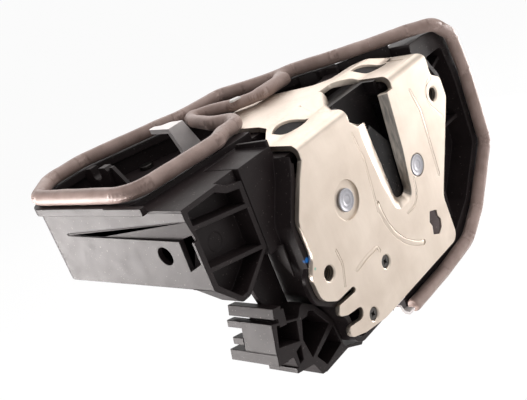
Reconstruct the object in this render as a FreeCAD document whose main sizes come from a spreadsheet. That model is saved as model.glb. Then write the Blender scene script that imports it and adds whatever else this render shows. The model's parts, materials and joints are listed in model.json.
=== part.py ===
# Side-door lock of a car, in millimetres.
# Origin: centre of the lower left threaded hole, on the front face of the latch plate.
# +X runs along the plate's width, +Y goes back into the door, +Z is up.
import FreeCAD, Part
import math
import os
from types import SimpleNamespace
import Sketcher
from FreeCAD import Placement, Rotation, Vector

# Driving sizes. The same names are the aliases in the spreadsheet.
sizes = {
    # latch plate
    "plateThickness": 2.0,
    "bendRadius": 5.4,
    "flangeTop": 43.4,
    "flangeDepth": 13.0,
    "riserDepth": 4.5,
    "stripTop": 46.6,
    "flangeLeft": 5.5,
    "flangeRight": 88.2,
    "plateRight": 94.3,
    "plateBottom": -30.2,
    "lipDepth": 3.4,
    "lipWall": 1.5,
    "recessDepth": 0.9,
    "recessWall": 1.2,
    "beadDepth": 0.5,
    # threaded holes and screws
    "threadRadius": 2.5,
    "collarRadius": 3.9,
    "collarLength": 5.0,
    "upperHoleX": 86.1,
    "upperHoleZ": 26.0,
    "screwRadius": 1.6,
    "screwHeadRadius": 2.3,
    "screwSink": 0.6,
    "screwLength": 12.0,
    "screwBossRadius": 4.0,
    "innerScrewX": 28.7,
    "innerScrewZ": -13.1,
    "lowerScrewX": 13.7,
    "lowerScrewZ": -25.1,
    # pivots
    "catchX": 63.2,
    "catchZ": 7.5,
    "catchPinRadius": 3.5,
    "pawlX": 19.7,
    "pawlZ": 16.4,
    "pawlPinRadius": 3.5,
    "pinHeadRadius": 4.0,
    "tailHeadRadius": 5.0,
    "tailHeadHeight": 1.6,
    "runningFit": 0.05,
    "seatGap": 0.1,
    "movingGap": 0.4,
    # catch and pawl
    "layerFront": 4.5,
    "layerBack": 8.9,
    "jacketSkin": 0.7,
    "jacketWall": 1.2,
    "catchRadius": 28.0,
    "throatRadius": 5.0,
    "pawlTipGap": 0.35,
    # back plate and mouth insert
    "backPlateFront": 13.0,
    "insertFront": 10.2,
    "insertWall": 2.0,
    # springs
    "springWire": 0.55,
    "springRadius": 4.7,
    # latch case
    "caseFront": 2.1,
    "caseBack": 24.0,
    "caseTop": 40.8,
    "wall": 2.0,
    "ledgeTop": 45.0,
    # rim frame
    "rimFront": 8.0,
    "rimBack": 20.0,
    # actuator housing
    "housingLeft": -39.0,
    "housingBottom": 17.8,
    "housingTop": 44.3,
    "frameFront": 9.0,
    "pocketFloor": 16.0,
    "seatTop": 46.9,
    "coverBottom": 36.0,
    "coverThickness": 2.0,
    "postRadius": 3.2,
    # release lever
    "shaftX": -6.0,
    "shaftZ": 25.0,
    "shaftRadius": 2.5,
    "leverFront": 59.5,
    "leverSheet": 1.8,
    # lock drive
    "toothModule": 0.8,
    "pinionTeeth": 8,
    "sectorTeeth": 20,
    "motorX": 40.0,
    "motorZ": 27.2,
    "motorRadius": 6.0,
    "motorFront": 30.0,
    "motorLength": 22.0,
    "gearFront": 53.4,
    "gearWidth": 3.4,
    "axleRadius": 1.5,
    # foam seal
    "sealRadius": 2.7,
}
s = SimpleNamespace(**sizes)

doc = FreeCAD.newDocument("DoorLock")
sheet = doc.addObject("Spreadsheet::Sheet", "Size")
for row, (alias, value) in enumerate(sizes.items(), start=1):
    sheet.set("A%d" % row, alias)
    sheet.set("B%d" % row, "%g" % value)
    sheet.setAlias("B%d" % row, alias)
doc.recompute()

subParts = []
planes = {"front": "XZ_Plane", "plan": "XY_Plane", "side": "YZ_Plane"}


def makeBody(label):
    body = doc.addObject("PartDesign::Body", label)
    body.Label = label
    body.Placement = Placement(Vector(0, 0, 0), Rotation())
    return body


# A body that is written out as a piece of its own.
def subPart(label):
    body = makeBody(label)
    subParts.append(body)
    return body


# A closed outline with straight runs and tangent arcs; a corner is (u, v) or (u, v, radius).
def outline(*corners):
    spans = []
    for index, corner in enumerate(corners):
        here = Vector(corner[0], corner[1], 0)
        before = Vector(corners[index - 1][0], corners[index - 1][1], 0) - here
        following = corners[(index + 1) % len(corners)]
        after = Vector(following[0], following[1], 0) - here
        radius = corner[2] if len(corner) > 2 else 0
        half = before.getAngle(after) / 2
        room = 0.49 * min(before.Length, after.Length)
        reach = min(radius / math.tan(half), room) if radius > 0 else 0
        radius = reach * math.tan(half)
        if radius < 0.01 or half > 1.56:
            spans.append((here, here, None))
            continue
        before.normalize()
        after.normalize()
        bisector = (before + after).normalize()
        middle = here + bisector * (radius / math.sin(half) - radius)
        spans.append((here + before * reach, here + after * reach, middle))
    edges = []
    for index, (start, end, middle) in enumerate(spans):
        if middle is not None:
            edges.append(Part.Arc(start, middle, end))
        nextStart = spans[(index + 1) % len(spans)][0]
        if end.distanceToPoint(nextStart) > 0.001:
            edges.append(Part.LineSegment(end, nextStart))
    return edges


# The same corners moved outwards by a distance, or inwards where it is negative.
def grown(corners, distance):
    area = sum(corners[i - 1][0] * c[1] - c[0] * corners[i - 1][1] for i, c in enumerate(corners))
    turn = 1 if area > 0 else -1
    moved = []
    for index, corner in enumerate(corners):
        here = Vector(corner[0], corner[1], 0)
        before = Vector(corners[index - 1][0], corners[index - 1][1], 0)
        following = corners[(index + 1) % len(corners)]
        arriving = (here - before).normalize()
        leaving = (Vector(following[0], following[1], 0) - here).normalize()
        normalIn = Vector(arriving.y, -arriving.x, 0) * turn
        normalOut = Vector(leaving.y, -leaving.x, 0) * turn
        shift = (normalIn + normalOut) * (distance / (1 + normalIn.dot(normalOut)))
        convex = arriving.cross(leaving).z * turn > 0
        radius = corner[2] if len(corner) > 2 else 0
        if radius > 0:
            radius = max(radius + (distance if convex else -distance), 0.3)
        moved.append((here.x + shift.x, here.y + shift.y, radius))
    return moved


# A circle whose radius follows an expression on the sheet.
def disc(x, y, radius):
    return {"x": x, "y": y, "radius": radius}


# A closed band between two radii and two angles, in degrees, with round ends.
def arcBand(x, y, inner, outer, start, end):
    def at(radius, angle):
        turn = math.radians(angle)
        return Vector(x + radius * math.cos(turn), y + radius * math.sin(turn), 0)
    middle = (start + end) / 2
    centre = (inner + outer) / 2
    cap = math.degrees((outer - inner) / 2 / centre)
    return [Part.Arc(at(outer, start), at(outer, middle), at(outer, end)),
            Part.Arc(at(outer, end), at(centre, end + cap), at(inner, end)),
            Part.Arc(at(inner, end), at(inner, middle), at(inner, start)),
            Part.Arc(at(inner, start), at(centre, start - cap), at(outer, start))]


def addDisc(sketch, circle):
    index = sketch.addGeometry(Part.Circle(Vector(circle["x"], circle["y"], 0), Vector(0, 0, 1), 1))
    for kind, value, axis in (("DistanceX", circle["x"], -2), ("DistanceY", circle["y"], -1)):
        if abs(value) < 0.000001:
            sketch.addConstraint(Sketcher.Constraint("PointOnObject", index, 3, axis))
        else:
            sketch.addConstraint(Sketcher.Constraint(kind, -1, 1, index, 3, value))
    bound = sketch.addConstraint(Sketcher.Constraint("Radius", index, 1))
    sketch.setExpression("Constraints[%d]" % bound, circle["radius"])


def makeSketch(body, view, level, wires):
    sketch = body.newObject("Sketcher::SketchObject", body.Label + "_sketch")
    origin = [item for item in body.Origin.OriginFeatures if item.Role == planes[view]][0]
    sketch.AttachmentSupport = [(origin, "")]
    sketch.MapMode = "FlatFace"
    sign = "-" if view == "front" else ""
    sketch.setExpression("AttachmentOffset.Base.z", sign + "(" + level + ")")
    for wire in wires:
        if isinstance(wire, dict):
            addDisc(sketch, wire)
        else:
            sketch.addGeometry(wire, False)
    return sketch


def checked(feature):
    doc.recompute()
    if "Invalid" in feature.State or "Error" in feature.State or feature.Shape.isNull():
        raise RuntimeError("%s failed" % feature.Label)
    return feature


# Adds material from a level, along the view's axis: front is +Y, plan is +Z, side is +X.
def pad(body, view, level, length, *wires):
    sketch = makeSketch(body, view, level, wires)
    feature = body.newObject("PartDesign::Pad", body.Label + "_pad")
    feature.Profile = sketch
    feature.Reversed = view == "front"
    feature.setExpression("Length", length)
    return checked(feature)


# Removes material from a level, along the same axis.
def cut(body, view, level, length, *wires):
    before = body.Tip.Shape.Volume
    sketch = makeSketch(body, view, level, wires)
    feature = body.newObject("PartDesign::Pocket", body.Label + "_cut")
    feature.Profile = sketch
    feature.Reversed = view != "front"
    feature.setExpression("Length", length)
    checked(feature)
    if feature.Shape.Volume > before - 0.01:
        raise RuntimeError("%s cuts nothing" % feature.Label)
    return feature


# A wall that tapers between two outlines with the same number of corners.
def loft(body, kind, view, levels, wires):
    sketches = [makeSketch(body, view, level, [wire]) for level, wire in zip(levels, wires)]
    feature = body.newObject("PartDesign::" + kind, body.Label + "_loft")
    feature.Profile = sketches[0]
    feature.Sections = sketches[1:]
    feature.Ruled = True
    return checked(feature)


def around(x, y, radius, angle):
    turn = math.radians(angle)
    return (x + radius * math.cos(turn), y + radius * math.sin(turn))


def box(left, right, low, high, radius=0):
    return outline((left, low, radius), (right, low, radius), (right, high, radius), (left, high, radius))


# Latch plate.
slotLeft = [(35.6, 38.5), (38.0, 25.0), (40.6, 12.0)]
slotEnd = [(44.2, -1.6, 4.0), (54.8, -1.6, 4.5)]
slotRight = [(57.6, 16.4), (59.3, 38.5)]
clearLeft = [(44.2, 38.5), (46.2, 25.0), (47.8, 12.0)]
clearEnd = [(48.8, 1.2, 3.0), (55.0, 0.2, 3.0)]
clearRight = [(55.6, 16.4), (57.8, 38.5)]
slotMouth = slotLeft + slotEnd + slotRight
slotClear = clearLeft + clearEnd + clearRight


def raised(corners, top):
    return [(x, top) + tuple(rest) if z == 38.5 else (x, z) + tuple(rest) for x, z, *rest in corners]


def plateFace():
    bendStart = s.flangeTop - s.bendRadius
    right = s.plateRight
    bottom = s.plateBottom
    leftLobe = [(1.9, 33.2, 9), (-5.3, 21.5, 6), (-4.6, 9.0, 5), (-8.3, 3.0, 5), (-7.6, -6.0, 6), (-1.0, -10.2, 4),
                (8.6, -10.3, 1.5), (9.3, -12.6, 1)]
    tongue = [(-0.8, -11.9, 1.5), (-2.8, -15.2, 1.5), (1.5, -17.3, 1.5), (9.4, -18.6, 2), (8.4, -22.8, 2)]
    lowerLobe = [(0.0, -21.2, 1.2), (-0.8, -25.0, 3), (7.0, -28.0, 8), (19.0, bottom, 10)]
    rightEdge = [(74.5, bottom, 4), (73.4, -11.0, 6), (right, 21.5, 4), (right - 0.5, 30.0, 3), (88.2, 33.0, 2)]
    return outline((s.flangeLeft, bendStart, 0), *leftLobe, *tongue, *lowerLobe, *rightEdge,
                   (s.flangeRight, bendStart, 0))


def flangeSection():
    thick = s.plateThickness
    inner = s.bendRadius - thick
    rear = s.flangeDepth + s.riserDepth
    low = s.flangeTop - s.bendRadius - 1
    return outline((0, low), (0, s.flangeTop, s.bendRadius), (s.flangeDepth, s.flangeTop, 3),
                   (rear, s.stripTop, 3), (57, s.stripTop), (57, s.stripTop - thick),
                   (rear + 0.7, s.stripTop - thick, 2), (s.flangeDepth + 0.7, s.flangeTop - thick, 4),
                   (thick, s.flangeTop - thick, inner), (thick, low))


def flangePlan():
    left = s.flangeLeft
    right = s.flangeRight
    return outline((left, -1), (6.8, 14.0, 3), (14.5, 18.5, 3), (16.5, 24.0, 2), (17.0, 41.0, 4), (34.0, 52.4, 4),
                   (48.1, 48.4, 3), (51.2, 36.6, 5), (53.5, 27.0, 3), (58.5, 22.0, 4), (70.5, 21.2, 3),
                   (77.0, 17.5, 3), (84.0, 13.0, 3), (right, 3.0, 3), (right, -1))


def lens(x1, y1, x2, y2, width):
    along = Vector(x2 - x1, y2 - y1, 0)
    across = Vector(-along.y, along.x, 0).normalize() * (width / 2)
    start = Vector(x1, y1, 0)
    end = Vector(x2, y2, 0)
    middle = (start + end) / 2
    return [Part.Arc(start, middle + across, end), Part.Arc(end, middle - across, start)]


# A closed strip of one width along an open line of points.
def strip(width, *points):
    line = [Vector(x, y, 0) for x, y in points]
    left, right = [], []
    for index, here in enumerate(line):
        along = line[min(index + 1, len(line) - 1)] - line[max(index - 1, 0)]
        side = Vector(-along.y, along.x, 0).normalize() * (width / 2)
        left.append((here.x + side.x, here.y + side.y, 5 * width))
        right.append((here.x - side.x, here.y - side.y, 5 * width))
    return outline(*left, *reversed(right))


# Width, then the middle line, of each bead that stiffens the plate.
plateBeads = [
    (1.4, (72.1, 34.0), (75.2, 24.0), (74.6, -3.0)),
    (1.4, (12.2, -6.8), (19.5, -5.8), (26.6, -5.8), (27.4, -8.4)),
    (0.9, (6.4, 5.2), (7.2, -1.0), (4.6, -8.4)),
    (0.9, (87.6, 32.2), (83.0, 31.2), (80.7, 27.0), (82.4, 22.6), (88.4, 15.4)),
    (0.9, (33.0, 35.0), (34.9, 24.0), (34.2, 14.0), (33.2, 4.0)),
    (0.9, (58.8, 5.0), (57.8, -1.6), (54.0, -4.8), (48.4, -4.9)),
]


def makeLatchPlate():
    body = subPart("latch_plate")
    thick = "Size.plateThickness"
    pad(body, "front", "0", thick, plateFace())
    pad(body, "side", "Size.flangeLeft", "Size.flangeRight - Size.flangeLeft", flangeSection())
    cut(body, "plan", "Size.flangeTop - Size.bendRadius", "20", box(-30, 130, -20, 80), flangePlan())
    corner = s.flangeRight
    top = s.flangeTop
    cut(body, "front", "-1", "Size.flangeDepth", outline(
        (corner - 9, top + 1), (corner + 2, top + 1), (corner + 2, top - 9), (corner - 0.1, top - 9),
        (corner - 0.1, top - 0.1, 6.5), (corner - 9, top - 0.1)))
    # pressed rests of the two pivots
    rests = ((s.pawlX, s.pawlZ, "6.8"), (s.catchX, s.catchZ, "Size.pinHeadRadius + 0.4"))
    for x, z, radius in rests:
        pad(body, "front", thick, "Size.recessDepth", disc(x, z, radius + " + Size.recessWall"))
    # funnel round the striker slot
    loft(body, "AdditiveLoft", "front", ["0.2", "Size.lipDepth"],
         [outline(*grown(slotMouth, s.lipWall)), outline(*grown(slotClear, s.lipWall))])
    loft(body, "SubtractiveLoft", "front", ["0", "Size.lipDepth"],
         [outline(*raised(slotMouth, 46)), outline(*raised(slotClear, 46))])
    cut(body, "plan", "Size.flangeTop - Size.bendRadius + 0.4", "20", outline(
        (33.8, -2), (62.4, -2), (62.4, 14.5, 4), (52, 18.5, 4), (34, 18.5, 4)))
    for x, z, radius in rests:
        cut(body, "front", "-1", "1 + Size.recessDepth", disc(x, z, radius))
    # threaded collars
    for x, z in ((0, 0), (s.upperHoleX, s.upperHoleZ)):
        pad(body, "front", thick, "Size.collarLength", disc(x, z, "Size.collarRadius"))
        cut(body, "front", "-1", "Size.plateThickness + Size.collarLength + 2", disc(x, z, "Size.threadRadius"))
    for x, z in ((s.innerScrewX, s.innerScrewZ), (s.lowerScrewX, s.lowerScrewZ)):
        cut(body, "front", "-1", "4", disc(x, z, "Size.screwHeadRadius + Size.seatGap"))
    cut(body, "front", "-1", "6", disc(s.pawlX, s.pawlZ, "Size.pawlPinRadius"),
        disc(s.catchX, s.catchZ, "Size.catchPinRadius"))
    # worn-through spot
    cut(body, "front", "-1", "4", outline((61.9, -11.4, 0.6), (66.3, -13.2, 0.6), (65.9, -15.6, 0.4),
                                          (67.3, -17.6, 1), (66.3, -20.6, 0.6), (63.8, -22.2, 0.5),
                                          (60.0, -20.4, 0.6), (60.9, -17.2, 0.4), (59.9, -15.0, 0.5)))
    # window slots in the riser
    cut(body, "plan", "Size.flangeTop - 3", "20", lens(13, 15.5, 28.5, 12, 5.5))
    cut(body, "plan", "Size.flangeTop - 3", "20", lens(65, 17.5, 78.5, 10, 5.0))
    # pressed beads
    cut(body, "front", "-1", "1 + Size.beadDepth", arcBand(s.catchX, s.catchZ, 27.9, 29.9, 181, 249))
    for bead in plateBeads:
        cut(body, "front", "-1", "1 + Size.beadDepth", strip(*bead))
    return body


# Plate behind the catch, pins and screws.
def makeBackPlate():
    body = subPart("back_plate")
    edge = outline((10, 27, 5), (10, 3, 5), (20, -22, 5), (66, -24, 6), (71.8, -10, 5), (80.5, 12, 5),
                   (82, 27, 5), (70, 31, 4), (58.6, 31, 2), (58.4, 3, 4), (42.6, 3, 4), (42.6, 31, 3), (24, 31, 4))
    pad(body, "front", "Size.backPlateFront", "Size.plateThickness", edge)
    cut(body, "front", "Size.backPlateFront - 1", "5", disc(s.pawlX, s.pawlZ, "Size.pawlPinRadius"),
        disc(s.catchX, s.catchZ, "Size.catchPinRadius"),
        disc(s.innerScrewX, s.innerScrewZ, "Size.screwBossRadius + 0.3"))
    return body


def makePin(label, x, z, radius):
    body = subPart(label)
    pad(body, "front", "0", "Size.recessDepth", disc(x, z, "Size.pinHeadRadius"))
    pad(body, "front", "Size.recessDepth", "Size.backPlateFront + Size.plateThickness - Size.recessDepth + 0.1",
        disc(x, z, radius))
    pad(body, "front", "Size.backPlateFront + Size.plateThickness + 0.05", "Size.tailHeadHeight",
        disc(x, z, "Size.tailHeadRadius"))
    return body


# A screw whose head is sunk in the plate and stands on a boss of the case.
def makePlateScrew(label, x, z):
    body = subPart(label)
    pad(body, "front", "Size.screwSink", "Size.caseFront - Size.screwSink - 0.02", disc(x, z, "Size.screwHeadRadius"))
    pad(body, "front", "Size.caseFront - 0.03", "Size.screwLength", disc(x, z, "Size.screwRadius"))
    star = [around(x, z, 1.4 if index % 2 else 0.6, 45 * index) for index in range(8)]
    cut(body, "front", "Size.screwSink - 1", "2", outline(*star))
    return body


# Catch and pawl.
# The catch at rest, open: the throat faces the mouth of the slot.
def catchCorners():
    x, z, reach = s.catchX, s.catchZ, s.catchRadius

    def polar(radius, angle, *corner):
        return around(x, z, radius, angle) + corner
    beyond = reach + 3
    throat = [(x + 4.7 + 0.2, z + 14.5, 3), (x + 5.9, z + 6.3, s.throatRadius), (x - 4.0, z + 6.0, s.throatRadius),
              (x - 3.3 - 0.4, z + 8.9, 2)]
    return ([polar(12.5, 300, 9), polar(13.5, 345, 9), polar(14.5, 25, 8), polar(26.5, 53, 3), polar(26.5, 80, 3)]
            + throat
            + [(x - 3.3 - 0.616 * 23, z + 8.3 + 0.788 * 23), polar(beyond, 130), polar(24, 131.5, 1),
               polar(24, 139.6, 1), polar(beyond, 139.6), polar(beyond, 154), polar(24.5, 155.5, 1),
               polar(24.5, 164, 1), polar(beyond, 164), polar(beyond * 1.04, 195), polar(beyond, 221),
               polar(15, 236, 4), polar(12.5, 265, 8)])


def makeCatch():
    body = subPart("catch")
    corners = catchCorners()
    pad(body, "front", "Size.layerFront", "Size.layerBack - Size.layerFront",
        outline(*grown(corners, -s.jacketWall)))
    cut(body, "front", "Size.layerFront - 1", "Size.layerBack - Size.layerFront + 2",
        disc(s.catchX, s.catchZ, "Size.catchRadius * 2"), disc(s.catchX, s.catchZ, "Size.catchRadius - Size.jacketWall"))
    cut(body, "front", "Size.layerFront - 1", "Size.layerBack - Size.layerFront + 2",
        disc(s.catchX, s.catchZ, "Size.catchPinRadius + Size.runningFit"))
    return body


# The jacket is its own outline less the catch and a free ring round the pin.
def makeCatchJacket():
    blank = makeBody("catch_jacket_blank")
    front = "Size.layerFront - Size.jacketSkin"
    deep = "Size.layerBack - Size.layerFront + 2 * Size.jacketSkin"
    pad(blank, "front", front, deep, outline(*catchCorners()))
    cut(blank, "front", front + " - 1", deep + " + 2", disc(s.catchX, s.catchZ, "Size.catchRadius * 2"),
        disc(s.catchX, s.catchZ, "Size.catchRadius"))
    hub = doc.addObject("Part::Cylinder", "catch_hub")
    hub.setExpression("Radius", "Size.catchPinRadius + 2.6")
    hub.setExpression("Height", "Size.caseBack")
    hub.Placement = Placement(Vector(s.catchX, 0, s.catchZ), Rotation(Vector(1, 0, 0), -90))
    room = doc.addObject("Part::Fuse", "catch_room")
    room.Base = doc.getObject("catch")
    room.Tool = hub
    jacket = doc.addObject("Part::Cut", "catch_jacket")
    jacket.Base = blank
    jacket.Tool = room
    jacket.Placement = Placement(Vector(0, 0, 0), Rotation())
    subParts.append(checked(jacket))
    return jacket


def makePawl():
    body = subPart("pawl")
    x, z = s.pawlX, s.pawlZ
    tip = around(s.catchX, s.catchZ, s.catchRadius + s.pawlTipGap, 205.5)
    tail = (5.0, 25.0)
    corners = [(x + 6.8, z + 1, 6), (x + 6.8, z - 4, 4), (tip[0] + 3.5, tip[1] + 3.5), (tip[0] + 2.2, tip[1] - 2.6),
               (tip[0] - 2.6, tip[1] - 2.6, 1.5), (tip[0] - 6.5, tip[1] + 0.5, 3), (x - 5.5, z - 4.5, 7),
               (x - 7.2, z + 1.5, 5), (tail[0] - 2.2, tail[1] - 1.8, 1), (tail[0] - 2.2, tail[1] + 2.6, 1.5),
               (tail[0] + 2.6, tail[1] + 2.6, 2), (x - 4, z + 8, 5), (x + 5, z + 7.5, 6)]
    deep = "Size.layerBack - Size.layerFront"
    pad(body, "front", "Size.layerFront", deep, outline(*corners))
    cut(body, "front", "Size.layerFront - 1", deep + " + 2",
        disc(s.catchX, s.catchZ, "Size.catchRadius + Size.pawlTipGap"))
    cut(body, "front", "Size.layerFront - 1", deep + " + 2", disc(x, z, "Size.pawlPinRadius + Size.runningFit"))
    pad(body, "front", "Size.layerBack - 0.5", "10.2", box(tail[0] - 2.0, tail[0] + 2.0, tail[1] - 1.7, tail[1] + 2.4, 0.5))
    return body


# A wound spring as a plain ring with one leg.
def makeSpring(label, x, z, start, legTo):
    body = subPart(label)
    level = "Size.layerBack + Size.jacketSkin + Size.movingGap"
    ring = "4 * Size.springWire"
    foot = around(x, z, s.springRadius, start)
    pad(body, "front", level, ring, disc(x, z, "Size.springRadius + Size.springWire"),
        disc(x, z, "Size.springRadius - Size.springWire"))
    pad(body, "front", level + " + Size.springWire", "2 * Size.springWire", strip(2 * s.springWire, foot, legTo))
    return body


def makeBumper():
    body = subPart("catch_bumper")
    low = Vector(*around(s.catchX, s.catchZ, 14.5, 25), 0)
    high = Vector(*around(s.catchX, s.catchZ, 26.5, 53), 0)
    along = (high - low).normalize()
    clear = Vector(along.y, -along.x, 0) * s.movingGap
    start = low + along * 3 + clear
    end = low + along * 10.5 + clear
    pad(body, "front", "Size.layerFront", "Size.backPlateFront - Size.layerFront - Size.seatGap",
        outline((start.x, start.y, 0.8), (start.x + 4.0, start.y, 1.2), (end.x + 2.8, end.y - 0.6, 1.2), (end.x, end.y, 0.8)))
    return body


def makeMouthInsert():
    body = subPart("mouth_insert")
    pad(body, "front", "Size.insertFront", "Size.insertWall",
        outline((39.6, -1.5, 2), (57.0, -1.5, 2), (57.0, 15.5, 2), (61.8, 19.5, 2), (61.8, 42.8), (34.6, 42.8), (34.6, 31, 3),
                (39.6, 26, 2)))
    for left, right in ((34.6, 36.4), (60.0, 61.8)):
        pad(body, "front", "Size.caseFront + Size.lipDepth", "Size.insertFront - Size.caseFront - Size.lipDepth + 0.5",
            box(left, right, 37.8, 42.8))
    pad(body, "side", "36.0", "24.4", outline((11.5, 36.5), (11.5, 42.8), (16.5, 42.3, 3), (16.5, 40.0, 1), (12.2, 36.5)))
    return body


def makeSwitch():
    body = subPart("catch_switch")
    pad(body, "plan", "-21", "7.5", outline((40, 15.4), (52, 15.4), (52, 21.9), (40, 21.9)))
    pad(body, "plan", "-13.6", "1.4", outline((42, 17.2, 0.5), (45, 17.2, 0.5), (45, 20.0, 0.5), (42, 20.0, 0.5)))
    return body


# Latch case and rim.
caseEdge = [(3.0, s.caseTop), (0.2, 33.8, 8), (-7.0, 21.5, 6), (-6.6, 10.0, 4), (-6.3, -5.0, 4), (-1.0, -13.0, 4), (2.0, -20.0, 4), (3.0, -31.6, 5),
            (70.0, -31.6, 6), (76.0, -27.0, 4), (76.0, -11.5, 6), (97.0, 21.5, 6), (97.0, 30.0, 5),
            (90.0, s.caseTop, 4)]


def makeLatchCase():
    body = subPart("latch_case")
    deep = "Size.caseBack - Size.caseFront"
    pad(body, "front", "Size.caseFront", deep, outline(*caseEdge))
    cut(body, "front", "Size.caseFront - 1", deep + " - Size.wall + 1", outline(*grown(caseEdge, -s.wall)))
    # the room at the left, behind a sunk front wall
    pad(body, "front", "Size.frameFront", "Size.caseBack - Size.frameFront",
        outline((-12.8, 14.5), (-5.8, 14.5), (-5.9, 21.9), (1.3, 33.6), (3.6, 38.0), (3.6, s.ledgeTop),
                (-12.8, s.ledgeTop)))
    cut(body, "front", "Size.frameFront + Size.wall", "Size.caseBack - Size.frameFront - 2 * Size.wall",
        outline((-10.9, 16.6), (-4.0, 16.6), (-3.6, 20.6), (4.4, 33.0), (4.4, 37.0), (-2.0, s.ledgeTop - s.wall),
                (-10.9, s.ledgeTop - s.wall)))
    # curb at the end of the ledge
    pad(body, "side", "2.4", "1.2", outline((s.frameFront, s.ledgeTop - 1), (23.4, s.ledgeTop - 1),
                                            (23.4, s.ledgeTop + 1.6, 1), (s.frameFront, s.ledgeTop + 2.2)))
    # lip under the lobe of the lower left hole
    pad(body, "front", "Size.caseFront", "Size.wall",
        outline((-6.0, 6.0), (-9.8, 3.0, 4), (-9.2, -6.6, 6), (-1.6, -12.2, 5), (4.0, -12.4), (4.0, -9.5),
                (-2.0, -9.5, 3), (-5.4, -4.0)))
    # step that leaves room for the plate's bend
    cut(body, "side", "Size.flangeLeft - 2.2", "Size.flangeRight", box(1, s.bendRadius - 0.8, s.flangeTop - s.bendRadius + 0.2,
                                                                       s.flangeTop - s.plateThickness))
    # screw bosses
    for x, z in ((s.innerScrewX, s.innerScrewZ), (s.lowerScrewX, s.lowerScrewZ)):
        pad(body, "front", "Size.caseFront", deep + " - 0.5", disc(x, z, "Size.screwBossRadius"))
        cut(body, "front", "Size.caseFront - 1", "Size.screwLength + 2", disc(x, z, "Size.screwRadius + 0.02"))
    # open top over the mouth
    cut(body, "plan", "Size.caseTop - 5", "6", outline((34.2, 0), (62.2, 0), (62.2, 19, 3), (34.2, 19, 3)))
    cut(body, "front", "Size.caseBack - Size.wall - 1", "5", disc(s.shaftX, s.shaftZ, "Size.shaftRadius + Size.runningFit"))
    # stiffening ribs on the back wall
    for x in (10, 32, 56, 68):
        pad(body, "side", str(x), "1.5", outline((19.5, -29.8), (22.2, -29.8), (22.2, 12), (19.5, 8)))
    return body


sealFall = [(109.5, 43.8, 5), (117.5, 39.5, 6), (120.6, 22.0, 20), (121.4, -10.0, 8), (101.0, -31.0, 10),
            (88.0, -39.0, 12), (66.0, -40.6, 10), (41.0, -40.6)]


def makeRimFrame():
    body = subPart("rim_frame")
    gap = s.seatGap
    outer = [(91.5, s.ledgeTop - 0.2, 1), (104.0, s.ledgeTop - 0.2, 6), (119.5, 42.0, 7), (123.7, 24.0, 20), (124.6, -11.5, 9),
             (103.0, -34.2, 10), (90.0, -42.2, 10), (66.5, -43.8, 8), (41.0, -43.8, 1), (41.0, -31.8 - gap, 0)]
    inner = [(70.3, -31.6 - gap, 6), (76 + gap, -27.0, 4), (76 + gap, -11.5, 6), (97 + gap, 21.5, 6),
             (97 + gap, 30.0, 5), (91.5, 39.5, 3)]
    pad(body, "front", "Size.rimFront", "Size.rimBack - Size.rimFront", outline(*outer, *inner))
    # open recess between the case and the seat of the seal
    recess = outline((100.3, 36.2, 2), (113.0, 36.2, 3), (116.3, 20.0, 12), (117.0, -8.0, 5), (99.5, -26.5, 6),
                     (84.0, -35.0, 5), (79.3, -28.5, 3), (79.3, -12.5, 5), (100.3, 20.5, 5))
    cut(body, "front", "Size.rimFront - 1", "Size.rimBack - Size.rimFront - 1", recess)
    # ribs across the recess
    pad(body, "front", "Size.rimFront + 3", "Size.rimBack - Size.rimFront - 4",
        outline((99, 25.5), (117, 31.5), (117, 33.2), (99, 27.2)))
    pad(body, "front", "Size.rimFront + 4", "Size.rimBack - Size.rimFront - 5",
        outline((92, 3.6), (118, 3.6), (118, 5.2), (93, 5.2)))
    pad(body, "front", "Size.rimFront + 4", "Size.rimBack - Size.rimFront - 5",
        outline((91.5, -33), (93.1, -33), (93.1, 6), (91.5, 6)))
    # hollow under the seat
    cut(body, "front", "Size.rimFront + Size.wall + 0.5", "20",
        outline((119.0, 20.0, 10), (121.9, 20.0, 1), (122.7, -10.8, 7), (101.8, -32.8, 8), (89.5, -40.3, 9),
                (66.5, -41.9, 6), (44.0, -41.9), (44.0, -34.0), (70.5, -34.0, 4), (83.5, -37.5, 5), (100.5, -28.8, 6),
                (119.6, -8.8, 5)))
    return body


# Actuator housing.
# Centre line of the seal on top, seen from above.
routeFar = [(75.5, 31.5, 8), (67.5, 45.5, 6), (59.5, 51.5, 7), (53.0, 60.5, 6), (48.0, 70.5, 6), (27.0, 73.8, 9),
            (19.0, 80.0, 14), (-8.0, 94.3, 12), (-24.0, 94.3, 9), (-37.4, 82.5, 5)]
routeNear = [(-37.4, 31.2, 8), (-1.0, 26.8, 6)]


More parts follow.
